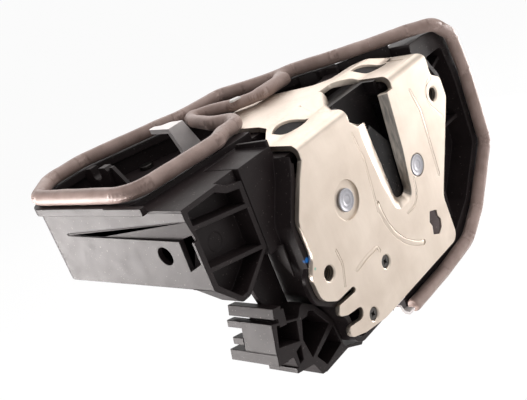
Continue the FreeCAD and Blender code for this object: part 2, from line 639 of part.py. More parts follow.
def makeHousing():
    body = subPart("actuator_housing")
    far = grown([(75.5, 20.0)] + routeFar + [(-37.4, 20.0)], 1.7)[1:-1]
    left = s.housingLeft
    front = s.caseBack + 0.2
    outer = [(left, 9.0), (-13.1, 9.0), (-13.1, front), (far[0][0], front)] + far
    height = "Size.housingTop - Size.housingBottom"
    pad(body, "plan", "Size.housingBottom", height, outline(*outer))
    # closed front corner with the ribbed frame
    pad(body, "plan", "Size.housingTop - 0.5", "Size.ledgeTop - Size.housingTop + 0.5",
        outline((left, 9.0), (-13.1, 9.0), (-13.1, front), (3.0, front), (3.0, 30.0), (left, 34.0)))
    pad(body, "front", "Size.frameFront", "Size.pocketFloor - Size.frameFront + Size.wall",
        outline((left, 20), (-13.1, 20), (-13.1, 17.8), (-26.8, 8.3, 2), (-30.5, 8.3, 2), (left, 17.8)))
    # tray, open upwards
    right = far[0][0] - s.wall
    back = front + s.wall
    inner = [(-37.0, 37.0, 6), (-11.0, 32.5, 4), (10.0, 31.0, 2), (10.0, back), (right, back)]
    rear = grown([(75.5, 20.0)] + routeFar + [(-37.4, 20.0)], 1.7 - s.wall)[1:-1]
    cut(body, "plan", "Size.housingBottom + Size.wall", "40", outline(*inner, *rear))
    lower = "Size.coverBottom - Size.housingBottom - Size.wall"
    edgeLeft = left + s.wall
    edgeRight = -13.1 - s.wall
    behind = s.pocketFloor + s.wall
    cut(body, "plan", "Size.housingBottom + Size.wall", lower,
        outline((edgeLeft, behind), (edgeRight, behind), (edgeRight, back), (right, back), (60, 30), (10, 33),
                (-11, 35), (edgeLeft, 40)))
    cut(body, "plan", "Size.coverBottom - 1", "Size.housingTop - Size.coverBottom - 1",
        outline((edgeLeft, behind), (edgeRight, behind), (edgeRight, back), (8, back), (8, 29.2), (-11, 30.6),
                (edgeLeft, 35.0)))
    # ribbed frame at the front: three pockets between two slanting ribs
    pockets = [[(edgeLeft, 43.2), (-24.6, 43.2), (-20.2, 40.6), (edgeRight, 39.4), (edgeRight, 34.2), (edgeLeft, 38.8)],
               [(edgeLeft, 37.3), (edgeRight, 32.7), (edgeRight, 19.6), (edgeLeft, 24.6)],
               [(edgeLeft, 23.1), (edgeRight, 18.1), (-27.4, 10.2), (-30.0, 10.2), (edgeLeft, 18.6)]]
    for pocket in pockets:
        cut(body, "front", "Size.frameFront - 1", "Size.pocketFloor - Size.frameFront + 1", outline(*pocket))
    cut(body, "front", "Size.pocketFloor - 1", "1.3", disc(-26.0, 27.0, "3"))
    cut(body, "front", "Size.frameFront - 1", "3", outline((-24.0, 46), (-19.2, 42.6), (-13.0, 41.2), (-13.0, 46)))
    # seat of the seal: a lip round the tray
    ring = routeFar + routeNear
    pad(body, "plan", "Size.housingTop - 0.2", "Size.seatTop - Size.housingTop + 0.2",
        outline(*grown(ring, 3.1)), outline(*grown(ring, -2.2)))
    cut(body, "plan", "Size.housingTop", "10", box(12.5, 71.0, 15, 34.5))
    cut(body, "plan", "Size.ledgeTop", "10", outline((left - 5, 20), (14, 15), (14, 23.6), (-20, 28.4), (left - 5, 31.5)))
    cut(body, "plan", "Size.housingTop - 0.3", "10", box(-13.0, 14, 15, front - 0.05))
    # left wall: sunk wedge, round hole, opening at the corner
    loft(body, "SubtractiveLoft", "front", ["Size.frameFront - 0.5", "72"],
         [outline((left - 0.5, 41.4), (left - 0.5, 34.4), (left + 1.3, 34.4), (left, 41.4)),
          outline((left - 0.5, 36.6), (left - 0.5, 35.8), (left + 0.1, 35.8), (left, 36.6))])
    cut(body, "side", "Size.housingLeft - 2", "6", disc(24.8, 29.3, "3.1"))
    cut(body, "side", "Size.housingLeft - 1", "4", outline((10.2, 36.2), (15.6, 34.6), (16.0, 24.2), (10.2, 27.0)))
    # stop on the lip of the left wall
    pad(body, "side", "Size.housingLeft - 2.2", "2", box(24.0, 42.6, s.housingTop, s.seatTop))
    # bore and rear bearing of the release shaft
    cut(body, "front", "Size.caseBack", "5", disc(s.shaftX, s.shaftZ, "Size.shaftRadius + Size.runningFit"))
    pad(body, "front", "62.4", "4", outline((-11, 18.5), (-1, 18.5), (-1.8, 29.5, 3), (-10.2, 29.5, 3)))
    cut(body, "front", "62", "5", disc(s.shaftX, s.shaftZ, "Size.shaftRadius + Size.runningFit"))
    # saddles of the motor and block of the sector pin
    for start in ("Size.motorFront + 2", "Size.motorFront + Size.motorLength - 5"):
        pad(body, "front", start, "3", box(s.motorX - 8, s.motorX + 8, 18.5, s.motorZ - 1))
        cut(body, "front", start + " - 0.5", "4", disc(s.motorX, s.motorZ, "Size.motorRadius + Size.seatGap"))
    pivot = s.motorX - s.toothModule * (s.pinionTeeth + s.sectorTeeth) / 2
    pad(body, "front", "Size.gearFront + Size.gearWidth + Size.movingGap", "4",
        outline((pivot - 4.5, 18.5), (pivot + 4.5, 18.5), (pivot + 3, s.motorZ + 3, 2), (pivot - 3, s.motorZ + 3, 2)))
    cut(body, "front", "Size.gearFront + Size.gearWidth", "5", disc(pivot, s.motorZ, "Size.axleRadius"))
    # posts under the inner cover
    for x, y in coverPosts:
        pad(body, "plan", "Size.housingBottom + 1", "Size.coverBottom - Size.housingBottom - 1 - Size.seatGap",
            disc(x, y, "Size.postRadius"))
    return body


coverPosts = [(-33.0, 42.0), (-31.5, 80.0), (8.0, 79.5), (44.0, 64.5), (66.0, 32.0)]


def makeCover():
    body = subPart("tray_cover")
    far = grown([(75.5, 20.0)] + routeFar + [(-37.4, 20.0)], 1.7 - s.wall - 0.2)[1:-1]
    front = s.caseBack + 0.2 + s.wall + 0.2
    edge = [(-36.8, 37.4, 6), (-11.0, 32.8, 4), (10.2, 31.3, 2), (10.2, front), (far[0][0], front)] + far
    pad(body, "plan", "Size.coverBottom", "Size.coverThickness", outline(*edge))
    cut(body, "plan", "Size.coverBottom - 1", "5", box(-1.6, 25.5, s.leverFront - 2.5, s.leverFront + 4.3, 1))
    for x, y in coverPosts:
        cut(body, "plan", "Size.coverBottom - 1", "5", disc(x, y, "1.3"))
    # ribs that stiffen the cover
    for x in (-28, 34, 52):
        pad(body, "side", str(x), "1.4", outline((38.5, 37.5), (58, 37.5), (56, 41.5), (42, 41.5)))
    return body


def makeCradle():
    body = subPart("cable_cradle")
    low = s.coverBottom + s.coverThickness + 0.02
    pad(body, "side", "-12.4", "3.4", outline((74.6, low), (88.6, low), (88.6, 46.2), (87.0, 48.2), (84.1, 48.2),
                                              (83.9, 43.6, 2.0), (79.3, 43.6, 2.0), (79.1, 48.2), (75.6, 48.2), (74.6, 46.8)))
    pad(body, "side", "-10.8", "1.6", outline((66.5, low), (74.8, low), (74.8, 47.5), (73.5, 47.5)))
    pad(body, "plan", str(low), "1.6", outline((-15.5, 74.6), (-4.5, 74.6), (-4.5, 88.6), (-15.5, 88.6)))
    return body


def makeCoverScrew(label, x, y):
    body = subPart(label)
    pad(body, "plan", "Size.coverBottom + Size.coverThickness + 0.02", "1.6", disc(x, y, "2.7"))
    pad(body, "plan", "Size.coverBottom - Size.seatGap + 0.02", "Size.coverThickness + Size.seatGap + 0.2",
        disc(x, y, "1.2"))
    return body


# Release lever.
def makeReleaseLever():
    body = subPart("release_lever")
    x, z = s.shaftX, s.shaftZ
    pad(body, "front", "Size.leverFront", "Size.leverSheet",
        outline((x - 4.6, z - 4.6, 4.4), (x + 4.0, z - 4.6, 4), (18.5, 31.5, 6), (21.2, 41.0, 6), (16.4, 52.4),
                (8.8, 52.4), (11.6, 41.0, 6), (9.5, 36.5, 6), (x - 4.6, z + 4.6, 4.4)))
    pad(body, "plan", "50.6", "1.8", outline((8.9, 59.6), (16.4, 59.6), (16.2, 66.0, 2), (13.4, 68.5, 3), (13.2, 72.5, 1.4),
                                             (10.2, 72.5, 1.4), (9.6, 68.0, 3)))
    cut(body, "front", "Size.leverFront - 1", "5", disc(x, z, "Size.shaftRadius"))
    return body


def makeReleaseShaft():
    body = subPart("release_shaft")
    x, z = s.shaftX, s.shaftZ
    pad(body, "front", "14", "52.2", disc(x, z, "Size.shaftRadius"))
    pad(body, "front", "14.6", "4", outline((x - 3.6, z - 3.6, 3.4), (x + 1, z - 3.9, 3), (x + 12.6, z - 4.6, 0.8),
                                            (x + 12.6, z - 2.1, 0.8), (x + 8.6, z - 2.1, 2), (x + 4, z + 0.5, 3), (x + 2, z + 3.8, 3),
                                            (x - 3.6, z + 3.8, 3.4)))
    return body


def makeReleaseSpring():
    body = subPart("release_spring")
    inner = "Size.shaftRadius + 0.25"
    pad(body, "front", "Size.caseBack + 3.6", "6 * Size.springWire",
        disc(s.shaftX, s.shaftZ, inner + " + 2 * Size.springWire"), disc(s.shaftX, s.shaftZ, inner))
    return body


# Lock drive.
# Corners of a row of teeth with straight flanks, thin enough to run with play.
def toothCorners(x, z, teeth, first, last, phase):
    pitch = s.toothModule * teeth / 2
    top = pitch + 0.75 * s.toothModule
    root = pitch - 1.05 * s.toothModule
    step = 360.0 / teeth
    corners = []
    for index in range(first, last + 1):
        middle = phase + index * step
        corners += [around(x, z, root, middle - 0.27 * step), around(x, z, top, middle - 0.10 * step),
                    around(x, z, top, middle + 0.10 * step), around(x, z, root, middle + 0.27 * step)]
    return corners


def makeLockSector():
    body = subPart("lock_sector")
    pivot = s.motorX - s.toothModule * (s.pinionTeeth + s.sectorTeeth) / 2
    teeth = toothCorners(pivot, s.motorZ, s.sectorTeeth, -3, 2, 9.0)
    arm = [around(pivot, s.motorZ, 4.4, 80) + (2,), around(pivot, s.motorZ, 13.8, 154) + (1.5,),
           around(pivot, s.motorZ, 14.1, 166) + (1.5,), around(pivot, s.motorZ, 4.6, 220) + (2,)]
    pad(body, "front", "Size.gearFront", "Size.gearWidth", outline(*teeth, *arm))
    cut(body, "front", "Size.gearFront - 1", "Size.gearWidth + 2",
        disc(pivot, s.motorZ, "Size.axleRadius + Size.runningFit"))
    return body


def makeSectorPin():
    body = subPart("sector_pin")
    pivot = s.motorX - s.toothModule * (s.pinionTeeth + s.sectorTeeth) / 2
    pad(body, "front", "Size.gearFront - 1.2", "Size.gearWidth + 5.4", disc(pivot, s.motorZ, "Size.axleRadius"))
    pad(body, "front", "Size.gearFront - 1.6", "1.2", disc(pivot, s.motorZ, "Size.axleRadius + 1"))
    return body


def makeMotor():
    body = subPart("lock_motor")
    x, z = s.motorX, s.motorZ
    pad(body, "front", "Size.motorFront", "Size.motorLength", disc(x, z, "Size.motorRadius"))
    flat = s.motorRadius - 0.9
    cut(body, "front", "Size.motorFront + Size.motorLength - 16", "20", box(x - 8, x + 8, z + flat, z + 8))
    cut(body, "front", "Size.motorFront + Size.motorLength - 2", "5", disc(x, z, "Size.motorRadius + 2"), disc(x, z, "2.6"))
    cut(body, "front", "Size.motorFront + Size.motorLength - 4", "8", disc(x, z, "1 + Size.runningFit"))
    return body


def makeMotorShaft():
    body = subPart("motor_shaft")
    x, z = s.motorX, s.motorZ
    pad(body, "front", "Size.motorFront + Size.motorLength - 3.8", "5.2 + Size.gearWidth + 0.6", disc(x, z, "1"))
    pad(body, "front", "Size.gearFront", "Size.gearWidth",
        outline(*toothCorners(x, z, s.pinionTeeth, 0, s.pinionTeeth - 1, 180.0)))
    return body


# Clip bracket and hook.
def makeClipBracket():
    body = subPart("clip_bracket")
    # spine that hangs from the case and joins every clip
    pad(body, "front", "8", "14", outline((-24.5, -4.2), (-12.6, -9.4, 1), (-9.5, -5.5, 2), (-4.2, -10.0, 1.5), (-1.2, -14.6, 1),
                                          (1.8, -20.2), (2.8, -31.8), (12.5, -36.0), (11.0, -37.0), (4.0, -33.4, 1),
                                          (-9.5, -33.6), (-11.6, -26.4), (-20.5, -24.5), (-20.8, -19.4), (-26.6, -17.8), (-27.0, -13.4)))
    cut(body, "front", "7", "11", outline((-22.6, -5.9), (-13.9, -9.7), (-15.8, -16.4), (-25.0, -12.6)))
    cut(body, "front", "7", "13", outline((-11.6, -11.0), (-5.4, -12.0), (-0.6, -20.0), (-13.0, -25.0), (-14.2, -17.0)))
    cut(body, "front", "7", "13", outline((-11.0, -26.0), (1.0, -21.8), (1.6, -29.5), (-8.0, -31.6)))
    cut(body, "front", "7", "20", outline((-7.6, -10.2, 0.8), (-4.8, -11.8, 0.8), (-7.4, -15.0, 0.8), (-9.6, -12.6, 0.8)))
    cut(body, "front", "7", "12", outline((-18.9, -18.4), (-15.9, -17.8), (-17.2, -22.8), (-19.2, -23.0)))
    # clips that reach back along the depth
    pad(body, "front", "8", "20.5", outline((-21.6, -0.2), (-18.0, -1.2), (-19.6, -4.8), (-22.8, -3.6)))
    pad(body, "front", "8", "13", outline((-20.6, -1.6), (-17.2, -2.6), (-18.2, -8.2), (-21.6, -7.2)))
    pad(body, "front", "21.5", "7.5", outline((-24.0, -4.6), (-20.5, -5.6), (-21.0, -8.0), (-24.6, -7.0)))
    pad(body, "front", "21.5", "5.5", outline((-26.0, -9.8), (-22.0, -10.8), (-22.6, -13.2), (-26.6, -12.2)))
    pad(body, "front", "8", "21.5", outline((-27.0, -14.2), (-22.5, -15.4), (-23.4, -19.0), (-28.0, -17.8)))
    pad(body, "front", "8", "13", outline((-21.2, -23.4), (-11.6, -26.0), (-9.6, -33.4), (-11.4, -33.0), (-13.6, -27.4), (-21.6, -25.2)))
    return body


def makeHook():
    body = subPart("metal_hook")
    pad(body, "front", "3.2", "1.4", outline((30.6, -31.7 - s.seatGap), (36.6, -31.7 - s.seatGap), (36.2, -36.4, 1), (39.8, -40.4, 0.5),
                                             (35.0, -40.6, 2), (31.4, -37.4, 2)))
    pad(body, "front", "4.5", "3.2", box(30.6, 36.6, -33.2 - s.seatGap, -31.7 - s.seatGap))
    return body


# Foam seal.
# A path of straight runs joined by tangent arcs through corners (x, y, z, radius).
def roundedPath(corners):
    points = [Vector(*corner[:3]) for corner in corners]
    edges = []
    last = points[0]
    for index in range(1, len(points) - 1):
        here = points[index]
        before = (points[index - 1] - here)
        after = (points[index + 1] - here)
        half = before.getAngle(after) / 2
        reach = min(corners[index][3] / math.tan(half), 0.47 * before.Length, 0.47 * after.Length)
        radius = reach * math.tan(half)
        before.normalize()
        after.normalize()
        start = here + before * reach
        end = here + after * reach
        middle = here + (before + after).normalize() * (radius / math.sin(half) - radius)
        if start.distanceToPoint(last) > 0.001:
            edges.append(Part.LineSegment(last, start).toShape())
        edges.append(Part.Arc(start, middle, end).toShape())
        last = end
    edges.append(Part.LineSegment(last, points[-1]).toShape())
    return Part.Wire(edges)


def sealPath():
    top = s.seatTop + s.sealRadius + 0.1
    over = s.stripTop + s.sealRadius + 0.1
    second = [(59.5, 43.6, over, 0), (42.0, 44.2, over, 10), (35.0, 51.0, over, 8), (31.5, 62.0, over, 4.2),
              (26.0, 67.0, over, 4.2), (22.0, 60.0, over, 6), (17.4, 46.0, over, 14), (18.4, 36.5, over, 5),
              (14.0, 31.2, over, 5), (6.0, 30.6, top, 6), (-0.5, 26.8, top, 6)]
    near = [(-37.4, 31.2, top, 9)]
    far = [(x, y, top, radius) for x, y, radius in reversed(routeFar)]
    fall = [(86.5, 22.5, s.ledgeTop + s.sealRadius + 1.2, 12), (98.5, 12.0, s.ledgeTop + s.sealRadius + 0.8, 10),
            (107.5, s.rimFront - s.sealRadius - 0.1, s.ledgeTop + s.sealRadius - 0.4, 7)]
    front = s.rimFront - s.sealRadius - 0.1
    down = [(x, front, z, (rest[0] if rest else 0)) for x, z, *rest in sealFall[1:]]
    return second + near + far + fall + down


def makeSeal():
    seal = doc.addObject("Part::Feature", "foam_seal")
    path = roundedPath(sealPath())
    start = path.Edges[0].valueAt(path.Edges[0].FirstParameter)
    heading = path.Edges[0].tangentAt(path.Edges[0].FirstParameter)
    across = heading.cross(Vector(0, 0, 1)).normalize()
    over = across.cross(heading)
    sides = 8
    turns = [2 * math.pi * (side + 0.5) / sides for side in range(sides + 1)]
    reach = s.sealRadius / math.cos(math.pi / sides)
    ring = Part.makePolygon([start + (across * math.cos(turn) + over * math.sin(turn)) * reach for turn in turns])
    seal.Shape = path.makePipeShell([ring], True, False)
    expected = sides * math.tan(math.pi / sides) * s.sealRadius ** 2 * path.Length
    print("seal volume", round(seal.Shape.Volume), "of", round(expected))
    seal.Placement = Placement(Vector(0, 0, 0), Rotation())
    seal.Label = "foam_seal"
    subParts.append(seal)
    return seal


makeLatchPlate()
makeBackPlate()
makePin("catch_pin", s.catchX, s.catchZ, "Size.catchPinRadius")
makePin("pawl_pin", s.pawlX, s.pawlZ, "Size.pawlPinRadius")
makePlateScrew("screw_inner", s.innerScrewX, s.innerScrewZ)
makePlateScrew("screw_lower", s.lowerScrewX, s.lowerScrewZ)
makeCatch()
makeCatchJacket()
makePawl()
makeSpring("catch_spring", s.catchX, s.catchZ, 300, around(s.catchX, s.catchZ, 13, 330))
makeSpring("pawl_spring", s.pawlX, s.pawlZ, 60, around(s.pawlX, s.pawlZ, 12, 20))
makeBumper()
makeMouthInsert()
makeSwitch()
makeLatchCase()
makeRimFrame()
makeHousing()
makeCover()
makeCradle()
for index, (x, y) in enumerate(coverPosts[:3], start=1):
    makeCoverScrew("cover_screw_%d" % index, x, y)
makeReleaseLever()
makeReleaseShaft()
makeReleaseSpring()
makeLockSector()
makeSectorPin()
makeMotor()
makeMotorShaft()
makeClipBracket()
makeHook()
makeSeal()

doc.recompute()
for item in doc.Objects:
    if "Invalid" in item.State or "Error" in item.State:
        raise RuntimeError("%s did not build" % item.Label)
os.makedirs("parts", exist_ok=True)
for item in subParts:
    shape = item.Shape
    if shape.isNull() or not shape.isValid():
        raise RuntimeError("%s has no valid shape" % item.Label)
    shape.exportStep(os.path.join("parts", item.Label + ".step"))
    print(item.Label, len(shape.Solids), round(shape.Volume))
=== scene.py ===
import json
import math

import bpy
from mathutils import Matrix, Vector


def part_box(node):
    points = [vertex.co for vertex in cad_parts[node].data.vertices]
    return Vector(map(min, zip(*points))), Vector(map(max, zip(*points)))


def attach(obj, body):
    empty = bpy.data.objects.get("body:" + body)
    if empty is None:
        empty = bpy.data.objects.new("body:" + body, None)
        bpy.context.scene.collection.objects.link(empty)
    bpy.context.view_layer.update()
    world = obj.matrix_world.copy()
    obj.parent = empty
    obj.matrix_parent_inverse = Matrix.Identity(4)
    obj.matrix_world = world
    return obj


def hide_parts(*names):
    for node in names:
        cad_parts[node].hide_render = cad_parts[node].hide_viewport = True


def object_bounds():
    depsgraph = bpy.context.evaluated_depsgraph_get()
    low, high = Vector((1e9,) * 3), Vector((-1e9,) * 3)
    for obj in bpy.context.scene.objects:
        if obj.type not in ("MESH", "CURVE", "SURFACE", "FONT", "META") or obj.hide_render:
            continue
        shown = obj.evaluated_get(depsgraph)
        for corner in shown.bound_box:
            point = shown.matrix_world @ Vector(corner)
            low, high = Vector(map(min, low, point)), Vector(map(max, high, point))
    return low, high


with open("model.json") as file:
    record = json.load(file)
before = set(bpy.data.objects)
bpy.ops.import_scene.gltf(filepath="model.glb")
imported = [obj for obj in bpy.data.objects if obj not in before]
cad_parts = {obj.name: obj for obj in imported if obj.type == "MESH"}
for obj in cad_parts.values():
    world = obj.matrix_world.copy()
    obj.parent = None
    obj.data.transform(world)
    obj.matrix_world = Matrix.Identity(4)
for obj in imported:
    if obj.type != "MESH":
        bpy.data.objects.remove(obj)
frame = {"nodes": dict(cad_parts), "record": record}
nodes = frame["nodes"]
cadBounds = [list(corner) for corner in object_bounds()]
mm = 0.001
print("frame loaded")

# Small helpers for modelling.


def clearSelection():
    if bpy.context.object and bpy.context.object.mode != "OBJECT":
        bpy.ops.object.mode_set(mode="OBJECT")
    bpy.ops.object.select_all(action="DESELECT")


def makeActive(piece):
    clearSelection()
    piece.select_set(True)
    bpy.context.view_layer.objects.active = piece


def applyModifier(piece, kind, **settings):
    makeActive(piece)
    modifier = piece.modifiers.new(kind.title(), kind)
    for key, value in settings.items():
        setattr(modifier, key, value)
    bpy.ops.object.modifier_apply(modifier=modifier.name)


def finishPiece(piece, body, material, replaced=()):
    piece.data.materials.clear()
    piece.data.materials.append(material)
    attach(piece, body)
    if replaced:
        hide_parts(*replaced)
    return piece


def chooseVertices(piece, test):
    makeActive(piece)
    bpy.ops.object.mode_set(mode="EDIT")
    bpy.ops.mesh.select_mode(type="VERT")
    bpy.ops.mesh.select_all(action="DESELECT")
    bpy.ops.object.mode_set(mode="OBJECT")
    for vertex in piece.data.vertices:
        vertex.select = test(vertex.co / mm)
    bpy.ops.object.mode_set(mode="EDIT")


def moveVertices(piece, test, move):
    chooseVertices(piece, test)
    bpy.ops.transform.translate(value=[value * mm for value in move])
    bpy.ops.object.mode_set(mode="OBJECT")


def bevelVertices(piece, test, width, segments):
    chooseVertices(piece, test)
    bpy.ops.mesh.bevel(offset=width * mm, segments=segments, affect="EDGES")
    bpy.ops.object.mode_set(mode="OBJECT")


def breakEdges(piece, width, angle, clamp=True):
    applyModifier(piece, "BEVEL", width=width * mm, segments=2, limit_method="ANGLE",
                  angle_limit=math.radians(angle), use_clamp_overlap=clamp)


def shadeByAngle(piece, angle):
    makeActive(piece)
    bpy.ops.object.shade_smooth_by_angle(angle=math.radians(angle))


def weighNormals(piece):
    applyModifier(piece, "WEIGHTED_NORMAL", mode="FACE_AREA", weight=50, keep_sharp=True)


# The plate's front: countersinks as X, Z, radius and width; the line of the soft bend along the slot's left;
# and the top of the lip there, as range of X, range of Y and its move.
plateMouths = {
    "holes": [(0.0, 0.0, 2.5, 0.7), (86.1, 26.0, 2.5, 0.7),
              (28.7, -13.1, 2.4, 0.55), (13.7, -25.1, 2.4, 0.55)],
    "bend": [(35.6, 38.5), (38.0, 25.0), (40.6, 12.0), (44.2, -1.6)],
    "bendWidth": 1.0,
    "lips": [((36.0, 47.0), (2.0, 100.0), (0.74, 0.0, -5.0)),
             ((33.95, 40.0), (-1.0, 2.2), (0.45, 0.0, -3.2))],
    "lipTop": 38.4,
    "faceDepth": 0.01,
    "circleReach": 0.05,
    "lineReach": 0.4,
}


def nearLine(at, line, reach):
    for (x0, z0), (x1, z1) in zip(line, line[1:]):
        start, along = Vector((x0, z0)), Vector((x1 - x0, z1 - z0))
        share = min(max((Vector((at.x, at.z)) - start).dot(along) / along.length_squared, 0), 1)
        if (start + along * share - Vector((at.x, at.z))).length < reach:
            return True
    return False


def roundPlateMouths(piece):
    values = plateMouths
    for x, z, radius, countersink in values["holes"]:
        bevelVertices(piece, lambda at: at.y < values["faceDepth"]
                      and abs(math.hypot(at.x - x, at.z - z) - radius) < values["circleReach"], countersink, 2)
    for (left, right), (front, back), move in values["lips"]:
        moveVertices(piece, lambda at: front < at.y < back and left < at.x < right
                     and abs(at.z - values["lipTop"]) < values["lineReach"], move)
    bevelVertices(piece, lambda at: at.y < values["faceDepth"]
                  and nearLine(at, values["bend"], values["lineReach"]), values["bendWidth"], 4)


copyValues = {"mergeReach": 0.01, "flatAngle": 1.0}


# A copy of a node with its doubles merged, its flat faces joined and its edges broken.
def softCopy(node, body, material, edge=0.25, angle=35, flatten=True, clamp=True):
    mesh = nodes[node].data.copy()
    piece = bpy.data.objects.new("look_" + node, mesh)
    bpy.context.scene.collection.objects.link(piece)
    makeActive(piece)
    bpy.ops.object.mode_set(mode="EDIT")
    bpy.ops.mesh.select_all(action="SELECT")
    bpy.ops.mesh.remove_doubles(threshold=copyValues["mergeReach"] * mm)
    if flatten:
        bpy.ops.mesh.dissolve_limited(angle_limit=math.radians(copyValues["flatAngle"]))
    bpy.ops.object.mode_set(mode="OBJECT")
    if node == "latch_plate":
        roundPlateMouths(piece)
    if edge:
        breakEdges(piece, edge, angle, clamp)
    shadeByAngle(piece, angle)
    if edge:
        weighNormals(piece)
    return finishPiece(piece, body, material, [node])


# Materials.


def newMaterial(name, colour, metallic=0.0, roughness=0.5):
    material = bpy.data.materials.new(name)
    material.use_nodes = True
    shader = material.node_tree.nodes["Principled BSDF"]
    shader.inputs["Base Color"].default_value = (*colour, 1)
    shader.inputs["Metallic"].default_value = metallic
    shader.inputs["Roughness"].default_value = roughness
    return material


def addNode(material, kind, **values):
    node = material.node_tree.nodes.new("ShaderNode" + kind)
    for key, value in values.items():
        if key in node.inputs:
            node.inputs[key].default_value = value
        else:
            setattr(node, key, value)
    return node


def link(material, start, end):
    material.node_tree.links.new(start, end)


# Noise on object coordinates; size is the width of one lump in millimetres.
def lumps(material, size, detail=3.0, stretch=(1, 1, 1), distortion=0.0):
    place = addNode(material, "TexCoord")
    mapping = addNode(material, "Mapping")
    mapping.inputs["Scale"].default_value = stretch
    noise = addNode(material, "TexNoise")
    noise.inputs["Scale"].default_value = 1 / (size * mm)
    noise.inputs["Detail"].default_value = detail
    noise.inputs["Distortion"].default_value = distortion
    link(material, place.outputs["Object"], mapping.inputs["Vector"])
    link(material, mapping.outputs["Vector"], noise.inputs["Vector"])
    return noise.outputs["Fac"]


def spread(material, source, low, high, fromLow=0.3, fromHigh=0.7):
    span = addNode(material, "MapRange")
    span.inputs["From Min"].default_value = fromLow
    span.inputs["From Max"].default_value = fromHigh
    span.inputs["To Min"].default_value = low
    span.inputs["To Max"].default_value = high
    link(material, source, span.inputs["Value"])
    return span.outputs["Result"]


def blendColours(material, factor, first, second):
    mix = addNode(material, "Mix", data_type="RGBA")
    link(material, factor, mix.inputs["Factor"])
    for socket, colour in (("A", first), ("B", second)):
        place = [item for item in mix.inputs if item.name == socket and item.type == "RGBA"][0]
        if isinstance(colour, tuple):
            place.default_value = (*colour, 1)
        else:
            link(material, colour, place)
    return [item for item in mix.outputs if item.type == "RGBA"][0]


def setSocket(material, socket, source):
    link(material, source, material.node_tree.nodes["Principled BSDF"].inputs[socket])


def addBump(material, sources, strength, distance):
    previous = None
    for source, share in sources:
        bump = addNode(material, "Bump")
        bump.inputs["Strength"].default_value = strength * share
        bump.inputs["Distance"].default_value = distance * mm
        link(material, source, bump.inputs["Height"])
        if previous is not None:
            link(material, previous, bump.inputs["Normal"])
        previous = bump.outputs["Normal"]
    setSocket(material, "Normal", previous)


zincLook = {
    "colour": (0.58, 0.50, 0.425),
    "pale": (0.68, 0.60, 0.52),
    # the dark grey painted in as shade on the slot's right wall
    "worn": (0.20, 0.19, 0.18),
    "rough": (0.32, 0.44),
    "cloud": 14,
    "grain": 0.35,
    "drawn": 1.2,
    # the size of the streaky noise that breaks up the painted shade, and the box by the slot's right wall
    # where that shade is painted
    "shadeStreak": 0.8,
    "shadedWallBox": ((54, -3, -2), (60, 4, 38)),
}


# Small marks of paint that the photograph shows: centre and radius in millimetres, colour.
paintSpots = {
    "plate": [((-5.6, 0.6, 5.2), 0.8, (0.10, 0.42, 0.30)), ((10.2, 28.0, 46.0), 1.1, (0.16, 0.50, 0.38))],
    "plastic": [((-5.6, 2.6, 8.4), 1.1, (0.02, 0.22, 0.75))],
}


def multiply(material, first, second):
    product = addNode(material, "Math", operation="MULTIPLY")
    link(material, first, product.inputs[0])
    link(material, second, product.inputs[1])
    return product.outputs["Value"]


# 1 inside a ball round a point, fading out at its rim.
def spotMask(material, centre, radius):
    place = addNode(material, "TexCoord")
    distance = addNode(material, "VectorMath", operation="DISTANCE")
    distance.inputs[1].default_value = [value * mm for value in centre]
    link(material, place.outputs["Object"], distance.inputs[0])
    return spread(material, distance.outputs["Value"], 1, 0, 0.7 * radius * mm, 1.1 * radius * mm)


# 1 inside a box given by two corners in millimetres.
def boxMask(material, low, high):
    place = addNode(material, "TexCoord")
    parts = addNode(material, "SeparateXYZ")
    link(material, place.outputs["Object"], parts.inputs[0])
    mask = None
    for axis, start, end in zip("XYZ", low, high):
        inside = addNode(material, "Math", operation="COMPARE")
        inside.inputs[1].default_value = (start + end) / 2 * mm
        inside.inputs[2].default_value = (end - start) / 2 * mm
        link(material, parts.outputs[axis], inside.inputs[0])
        mask = inside.outputs["Value"] if mask is None else multiply(material, mask, inside.outputs["Value"])
    return mask


# 1 on faces that look sideways or up, 0 on the flat front and back.
def wallMask(material):
    place = addNode(material, "TexCoord")
    parts = addNode(material, "SeparateXYZ")
    link(material, place.outputs["Normal"], parts.inputs[0])
    size = addNode(material, "Math", operation="ABSOLUTE")
    link(material, parts.outputs["Y"], size.inputs[0])
    return spread(material, size.outputs["Value"], 1, 0, 0.75, 0.95)


def makeZinc():
    material = newMaterial("zincSteel", zincLook["colour"], 1.0, 0.4)
    cloud = lumps(material, zincLook["cloud"], 5.0, distortion=0.4)
    fine = lumps(material, zincLook["grain"], 2.0)
    drawn = lumps(material, zincLook["drawn"], 3.0, stretch=(1, 1, 0.12))
    tone = blendColours(material, spread(material, cloud, 0, 1), zincLook["colour"], zincLook["pale"])
    # Painted shade: the faces in the box that look sideways or up are darkened towards the dark grey, broken
    # up by streaky noise. This stands in for the shade on the slot's right wall.
    shadedWalls = multiply(material, wallMask(material), boxMask(material, *zincLook["shadedWallBox"]))
    shadeStreaks = lumps(material, zincLook["shadeStreak"], 4.0, stretch=(1, 1, 0.15))
    paintedShadeMask = multiply(material, shadedWalls, spread(material, shadeStreaks, 0.45, 1.0))
    tone = blendColours(material, paintedShadeMask, tone, zincLook["worn"])
    for centre, radius, colour in paintSpots["plate"]:
        tone = blendColours(material, spotMask(material, centre, radius), tone, colour)
    setSocket(material, "Base Color", tone)
    setSocket(material, "Roughness", spread(material, drawn, *zincLook["rough"]))
    addBump(material, [(fine, 1.0), (drawn, 0.5)], 0.25, 0.05)
    return material


